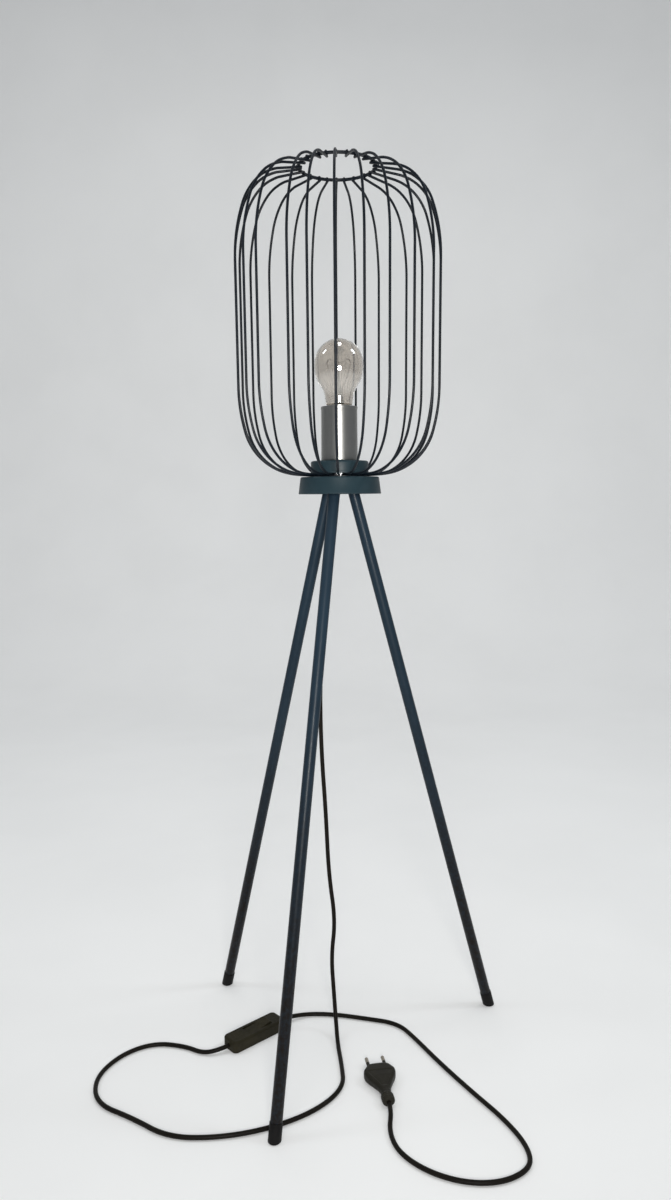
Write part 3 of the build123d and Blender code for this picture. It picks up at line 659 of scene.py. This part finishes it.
# degrees by which each hand-welded wire stands off its even place, going round from the front to the right
WIRE_STRAY = (-2, -2, -3, -2, 2, 2, 1, 1, 0, -1, 4, 4, 1, 1, -1, 1, 3, 3, 1, -3, -1, -3, 3, -1)
WIRE_FOOT_Z = 670.4
WIRE_RISE = 330.0
WIRE_R_Z = [(39.5, 999.6), (94.6, 986.8), (113.2, 931.4), (111.9, 745.1), (94.3, 674.2),
            (38.0, WIRE_FOOT_Z), (16.0, WIRE_FOOT_Z)]
WIRE_RADII = [52.0, 180.0, 184.0, 64.0, 110.0]
SWAY = 0.35                 # how far a wire bows out of its plane
CREST = 3.2                 # how much higher the wires arch just outside the mouth, at the front and left
CREST_LESS = 2.8            # and by how much less at the right
RING_R = 42.3
RING_TUBE = 1.8
RING_Z = 1002.255
RING_STEPS = 160
UNDER_RING = (41.6, 1000.35)        # radius and height of each wire's three welds
OVER_RING = (42.6, 1003.3)
ON_HUB = (29.4, 669.6)

profile = filleted([(r, 0, z) for r, z in WIRE_R_Z], WIRE_RADII, 3.2)
cage = Build()
for i in range(WIRE_COUNT):
    spin = math.radians(WIRE_PHASE + i * 360.0 / WIRE_COUNT + WIRE_STRAY[i])
    sway = SWAY * math.sin(2.4 * i + 0.7)
    rise = CREST - CREST_LESS * max(0.0, math.cos(spin))
    line = []
    for p in profile:
        t = (p.z - WIRE_FOOT_Z) / WIRE_RISE
        off = sway * math.sin(math.pi * min(1.0, max(0.0, t))) ** 2
        crest = rise * ramp(p.x, 42.0, 54.0) * (1 - ramp(p.x, 80.0, 108.0)) if p.z > 900 else 0.0
        line.append((p.x + off * 0.4, off, p.z + crest))
    cage.add(tube(line, WIRE_R, 14), Matrix.Rotation(spin, 4, "Z"))
    way = Vector((math.cos(spin), math.sin(spin), 0))
    for (r, z), length, width, height, seed in (
            (UNDER_RING, 2.5 + 0.3 * math.sin(i * 1.9), 1.5, 0.9, i),
            (OVER_RING, 2.9 + 0.4 * math.sin(i * 2.3), 1.6, 1.6, i + 80),
            (ON_HUB, 2.4, 1.7, 0.9, i + 40)):
        cage.add(bead(way * r + Vector((0, 0, z)), way, length, width, height, seed))
stand_in(cage.piece("cage_rods", cage_paint, 60.0), "stand", "black_paint", "cage_wires")

ring = Build()
loop = []
sizes = []
for k in range(RING_STEPS):
    a = 2 * math.pi * k / RING_STEPS
    loop.append((RING_R * math.cos(a), RING_R * math.sin(a), RING_Z))
    sizes.append(RING_TUBE * (1 + 0.015 * math.sin(9 * a + 1.0)))
ring.add(tube(loop, sizes, 18, closed=True))
stand_in(ring.piece("mouth_ring", cage_paint, 60.0), "stand", "black_paint", "top_ring")


# ------------------------------------------------------------------ lamp bulb
BULB_R = 27.5
BULB_Z = 792.9
GLASS_T = 0.7
# the glass under the round of the crown: (radius, drop from the middle of the globe) over the shoulder to
# the neck
SHOULDER = [(27.5, 0), (27.4, 4.6), (27.05, 9.2), (26.2, 13.8), (24.0, 19.2), (20.5, 24.8), (17.8, 29.6),
            (16.4, 34.4), (15.7, 39.4), (15.2, 44.0)]


def bulb_rows(t):
    """The glass outline inset by t, from the crown down to the neck."""
    rows = arc(0, BULB_Z, BULB_R - t, 90, 3, 24)
    rows[0] = (0.0, BULB_Z + BULB_R - t)
    for p in smooth_through([(r, BULB_Z - drop, 0) for r, drop in SHOULDER], 5):
        rows.append((p.x - 1.1 * t, p.y))
    return rows


outside = bulb_rows(0.0) + [(14.7, 747.8), (12.5, 746.9), (12.5, 741.0)]
inside = bulb_rows(GLASS_T) + [(13.9, 748.0), (11.7, 747.0), (11.7, 741.0)]
globe = Build()
globe.add(lathe(outside + inside[::-1], 128))
stand_in(globe.piece("bulb_envelope", bulb_smoke, 60.0), "bulb", "smoked_glass", "bulb_glass")

# pressed glass stem: flare, pinch and button
STEM = [(0, 741.2), (11.4, 741.2), (11.4, 742.2), (9.4, 743.2), (7.4, 745.6), (5.6, 749.6), (4.6, 755.0),
        (4.0, 760.0), (3.2, 765.0), (2.0, 768.4), (1.3, 770.4), (1.15, 777.0), (1.15, 783.6), (1.5, 784.6),
        (1.95, 785.8), (1.6, 787.0), (0.9, 787.5), (0, 787.6)]
stem = Build()
stem.add(lathe(softened(STEM, 1.2), 48))
stand_in(stem.piece("bulb_pinch_stem", stem_clear, 60.0), "bulb", "smoked_glass", "bulb_stem")

LEAD_R = 0.3
HOOK_R = 0.14
HOOK_FOOT_Z = 785.8
COIL_R = 0.42
COIL_WIRE_R = 0.09
FILAMENT = [(-13.5, 0, 793.2), (-12.4, 3.4, 796.4), (-9.4, 6.2, 798.4), (-4.6, 8.6, 796.2),
            (0, 9.5, 795.5), (4.6, 8.6, 796.2), (9.4, 6.2, 798.4), (12.4, 3.4, 796.4), (13.5, 0, 793.2)]
wires = Build()
for way in (-1, 1):
    lead = [(way * 2.6, 0, 752.0), (way * 3.0, 0, 765.0), (way * 8.0, 0, 777.0), (way * 13.5, 0, 793.0),
            (way * 13.9, 0.6, 794.4)]
    wires.add(tube(filleted(lead, [10.0, 18.0, 2.0], 1.0), LEAD_R, 10))
for x, y, z in ((-9.4, 6.2, 798.0), (0, 9.3, 795.6), (9.4, 6.2, 798.0)):
    hook = [(0, 0, HOOK_FOOT_Z), (x * 0.2, y * 0.2, HOOK_FOOT_Z + 1), (x * 0.9, y * 0.9, 794.8), (x, y, z)]
    wires.add(tube(hook, HOOK_R, 8))
axis_line = smooth_through(FILAMENT, 110)
coil = []
side = Vector((0, 0, 1))
for k, p in enumerate(axis_line):
    after = axis_line[min(k + 1, len(axis_line) - 1)]
    before = axis_line[max(k - 1, 0)]
    way = (after - before).normalized()
    side = (side - way * side.dot(way)).normalized()
    a = 2 * math.pi * k / 9.0
    coil.append(p + (side * math.cos(a) + way.cross(side) * math.sin(a)) * COIL_R)
wires.add(tube(coil, COIL_WIRE_R, 6))
stand_in(wires.piece("filament_and_leads", lead_wire, 60.0), "bulb", "tungsten", "bulb_filament")

THREAD_PITCH = 3.62
THREAD_SEGMENTS = 72
THREAD_STEP = 0.34
THREAD_FADE = 2.4           # length over which the thread runs out at each end


def threaded(low, high, r, depth, wall):
    """A thin sleeve with a rolled round thread."""
    steps = int((high - low) / THREAD_STEP)
    verts = []
    for shift in (0.0, -wall):
        for i in range(steps + 1):
            z = low + (high - low) * i / steps
            ease = min(1.0, (z - low) / THREAD_FADE, (high - z) / THREAD_FADE)
            for k in range(THREAD_SEGMENTS):
                a = 2 * math.pi * k / THREAD_SEGMENTS
                wave = 0.5 - 0.5 * math.cos(2 * math.pi * (z / THREAD_PITCH) - a)
                rr = r + shift - depth * wave * max(0.0, ease)
                verts.append((rr * math.cos(a), rr * math.sin(a), z))
    half = (steps + 1) * THREAD_SEGMENTS
    faces = strips(steps + 1, THREAD_SEGMENTS) + strips(steps + 1, THREAD_SEGMENTS, half)
    for row in (0, steps * THREAD_SEGMENTS):
        for k in range(THREAD_SEGMENTS):
            n = (k + 1) % THREAD_SEGMENTS
            faces.append((row + k, row + n, half + row + n, half + row + k))
    return verts, faces


SCREW_R = 13.1
SOLDER_AZ = 0.5
collar = [(12.2, 745.9), (SCREW_R, 745.9), (SCREW_R, 747.2), (12.75, 747.6), (12.3, 747.6)]
tail = [(12.6, 727.9), (13.0, 727.7), (12.6, 726.2), (11.4, 725.5), (11.2, 726.0), (12.2, 726.8)]
solder_way = (-math.sin(SOLDER_AZ), math.cos(SOLDER_AZ), 0)
solder_at = (13.05 * math.cos(SOLDER_AZ), 13.05 * math.sin(SOLDER_AZ), 746.9)
screw_cap = Build()
screw_cap.add(threaded(727.6, 746.2, SCREW_R, 0.75, 0.35))
screw_cap.add(lathe(softened(collar, 0.2), THREAD_SEGMENTS))
screw_cap.add(lathe(softened(tail, 0.2), THREAD_SEGMENTS))
screw_cap.add(bead(solder_at, solder_way, 1.3, 0.3, 0.8, 3))
stand_in(screw_cap.piece("bulb_screw_cap", cap_alloy, 60.0), "bulb", "bulb_cap", "bulb_cap")

flange = [(13.4, 741.2), (14.8, 741.4), (14.8, 742.0), (13.4, 742.0)]
holder_thread = Build()
holder_thread.add(threaded(717.05, 741.4, 13.8, 0.45, 0.3))
holder_thread.add(lathe(softened(flange, 0.15), THREAD_SEGMENTS))
stand_in(holder_thread.piece("holder_thread", brass, 60.0), "stand", "brass", "screw_shell")


# ------------------------------------------------------------------ plug
PLUG_LENGTH = 60.0
HALF_W = 17.8
HALF_T = 6.8
# its form from the tail to the pins' face: shares of the length, of the half width, of the half thickness,
# and the squareness of the section
FORM = [(0.0, 0.29, 0.66, 2.0), (0.022, 0.39, 0.91, 2.0), (0.158, 0.40, 0.91, 2.0),
        (0.217, 0.33, 0.72, 2.0), (0.30, 0.33, 0.73, 2.0), (0.40, 0.42, 0.80, 2.5),
        (0.533, 0.63, 0.91, 3.2), (0.667, 0.87, 1.0, 4.0), (0.75, 0.98, 1.0, 4.6), (0.80, 1.0, 1.0, 4.6),
        (0.858, 0.99, 1.0, 4.6), (0.965, 0.75, 1.0, 4.6), (0.99, 0.70, 0.95, 4.6), (1.0, 0.66, 0.86, 4.6)]
ROUNDING = 1.2              # of the corners in its plan
RIBS = (1.6, 9.4)           # where the tail is ribbed
RIB_PITCH = 2.6
RIB_DEPTH = 0.35
PAD_DEPTH = 0.55
AROUND = 112


def squircle(w, d, power):
    """A rounded section of half width w and half depth d."""
    out = []
    for k in range(AROUND):
        a = 2 * math.pi * k / AROUND
        c, s = math.cos(a), math.sin(a)
        out.append((w * math.copysign(abs(c) ** (2 / power), c),
                    d * math.copysign(abs(s) ** (2 / power), s)))
    return out


def form_at(x):
    """Half width, half thickness and squareness of the plug at x, with the corners of its plan rounded."""
    shifts = [ROUNDING * share for share in (-1, -0.5, 0, 0.5, 1)]
    out = []
    for column in (1, 2, 3):
        total = 0.0
        for shift in shifts:
            at = x + shift * min(1.0, x / ROUNDING, (PLUG_LENGTH - x) / ROUNDING)
            t = min(1.0, max(0.0, at / PLUG_LENGTH))
            for low, high in zip(FORM, FORM[1:]):
                if t <= high[0]:
                    share = (t - low[0]) / (high[0] - low[0])
                    total += low[column] + (high[column] - low[column]) * share
                    break
        out.append(total / len(shifts))
    return out[0] * HALF_W, out[1] * HALF_T, out[2]


stations = [0.5 * k for k in range(int(PLUG_LENGTH * 2) - 2)] + [59.2, 59.6, 59.85, PLUG_LENGTH]
verts = []
for x in stations:
    w, d, power = form_at(x)
    if RIBS[0] < x < RIBS[1]:
        groove = 0.5 - 0.5 * math.cos(2 * math.pi * (x - RIBS[0]) / RIB_PITCH)
        w -= RIB_DEPTH * groove ** 2
        d -= RIB_DEPTH * groove ** 2
    for y, z in squircle(w, d, power):
        # shallow pad on the flat faces, its front edge square across
        pad = ramp(x, 21.0, 24.0) * (1 - ramp(x, 47.4, 48.2)) * (1 - ramp(abs(y), w - 4.6, w - 3.6))
        if abs(z) > d * 0.7:
            z -= math.copysign(PAD_DEPTH * pad, z)
        verts.append((x, y, z))
faces = strips(len(stations), AROUND)
faces.append(tuple(range(AROUND)))
faces.append(tuple((len(stations) - 1) * AROUND + k for k in range(AROUND)))
body = Build()
body.add((verts, faces),
         Matrix.Translation((PLUG_AT[0], PLUG_AT[1], PLUG_Z)) @ Matrix.Rotation(PLUG_AZ, 4, "Z"))
plug = body.piece("plug_moulding", plug_plastic, 42.0)
stand_in(plug, "stand", "switch_plastic", "plug_body")


# ------------------------------------------------------------------ cords
for cord, solid in ((lamp_cord, "cord_lamp"), (plug_cord, "cord_plug")):
    cord.data.materials.append(sheath)
    stand_in(cord, "stand", "cord_sheath", solid)


# ------------------------------------------------------------------ finishes of the carried-over nodes
NODE_FINISH = {
    "leg_inserts": zinc, "leg_studs": zinc, "leg_bracket": zinc, "nipple": zinc, "nipple_nuts": zinc,
    "hub_washer": zinc, "cord_bushing": nylon, "cord_grip": nylon, "cord_grip_screw": zinc,
    "cage_hub": cage_paint, "holder_base": holder_plastic, "holder_core": porcelain,
    "holder_skirt": holder_plastic, "centre_contact": brass, "holder_terminals": brass,
    "terminal_screws": zinc, "core_live": core_brown, "core_neutral": core_blue,
    "bulb_insulator": glass_black, "bulb_contact": nickel, "switch_base": switch_plastic,
    "switch_top": switch_plastic, "rocker_pin": zinc, "switch_rocker": switch_plastic,
    "switch_screws": zinc, "switch_clamps": brass, "switch_contacts": brass, "plug_pins": pin_nickel,
    "plug_sleeves": plug_plastic,
}
for name, mat in NODE_FINISH.items():
    obj = nodes[name]
    for slot in obj.material_slots:
        slot.material = mat
    if not obj.material_slots:
        obj.data.materials.append(mat)


# ------------------------------------------------------------------ floor, backdrop and light (metres)
FLOOR_NEAR = -6.0
FLOOR_FAR = 1.6
SWEEP_R = 1.2               # of the bend from the floor up to the wall
WALL_TOP = 6.0
HALF_WIDTH = 9.0
UNDER_FEET = 0.0004         # so that the floor and the soles don't share a plane
GLOW = 0.13                 # of the backdrop where it is seen, mirrored or looked at through glass

bends = [math.radians(a) for a in range(0, 91, 5)]
sweep_rows = [(FLOOR_NEAR, 0.0)]
sweep_rows += [(FLOOR_FAR + SWEEP_R * math.sin(a), SWEEP_R - SWEEP_R * math.cos(a)) for a in bends]
sweep_rows += [(FLOOR_FAR + SWEEP_R, WALL_TOP)]
verts = []
for y, z in sweep_rows:
    verts += [(-HALF_WIDTH, y, z - UNDER_FEET), (HALF_WIDTH, y, z - UNDER_FEET)]
faces = [(2 * i, 2 * i + 1, 2 * i + 3, 2 * i + 2) for i in range(len(sweep_rows) - 1)]
mesh = bpy.data.meshes.new("backdrop")
mesh.from_pydata(verts, [], faces)
mesh.shade_smooth()
backdrop = bpy.data.objects.new("backdrop", mesh)
scene.collection.objects.link(backdrop)

paper = Finish("backdrop_paper", roughness=0.75, emission_color=(0.97, 0.985, 1.0, 1.0))
paper.colour(paper.blend(paper.span(paper.noise(3.0), 0.3, 0.7), (0.80, 0.80, 0.79, 1.0),
                         (0.83, 0.83, 0.82, 1.0)))
paper.bump((paper.noise(300.0, 3.0), 0.05))
ray = paper.node("ShaderNodeLightPath").outputs
seen_by = paper.math("MAXIMUM", ray["Is Camera Ray"], ray["Is Glossy Ray"])
seen_by = paper.math("MAXIMUM", seen_by, ray["Is Transmission Ray"])
paper.tree.links.new(paper.times(seen_by, GLOW), paper.shader.inputs["Emission Strength"])
mesh.materials.append(paper.mat)

world = bpy.data.worlds.new("studio")
scene.world = world
world.use_nodes = True
world.node_tree.nodes["Background"].inputs["Color"].default_value = (0.93, 0.96, 1.0, 1.0)
world.node_tree.nodes["Background"].inputs["Strength"].default_value = 0.32


def panel(name, at, aim, width, height, power, colour, glossy=True, spread=180.0):
    """A soft box aimed at a point, not to be seen through the glass."""
    data = bpy.data.lights.new(name, "AREA")
    data.shape = "RECTANGLE"
    data.size = width
    data.size_y = height
    data.energy = power
    data.color = colour
    data.spread = math.radians(spread)
    obj = bpy.data.objects.new(name, data)
    scene.collection.objects.link(obj)
    obj.location = at
    obj.rotation_euler = (Vector(aim) - Vector(at)).to_track_quat("-Z", "Y").to_euler()
    obj.visible_glossy = glossy
    obj.visible_transmission = False


LEG_MIDDLE = (0, 0, 0.5)
BULB_FOOT = (0, 0, 0.72)
LOWER_LEGS = (0, 0, 0.4)
WARM = (1.0, 0.98, 0.94)
COOL = (0.88, 0.95, 1.0)
WHITE = (1.0, 1.0, 1.0)
panel("front_soft", (-0.6, -3.2, 2.4), LEG_MIDDLE, 1.6, 1.6, 15.0, (1.0, 0.98, 0.95), glossy=False)
panel("lens_soft", (0.06, -1.35, 0.68), BULB_FOOT, 0.27, 0.27, 4.6, WARM, spread=100.0)
panel("left_soft", (-2.3, 0.0, 2.7), LEG_MIDDLE, 0.5, 0.8, 7.5, COOL)
panel("right_soft", (2.3, 0.0, 2.7), LEG_MIDDLE, 0.5, 0.8, 12.0, COOL)
panel("top_soft", (0.1, 0.0, 3.0), LOWER_LEGS, 0.9, 0.35, 5.0, WHITE)
panel("overhead", (0.2, 0.6, 3.0), LOWER_LEGS, 2.4, 2.4, 20.0, WHITE, glossy=False)
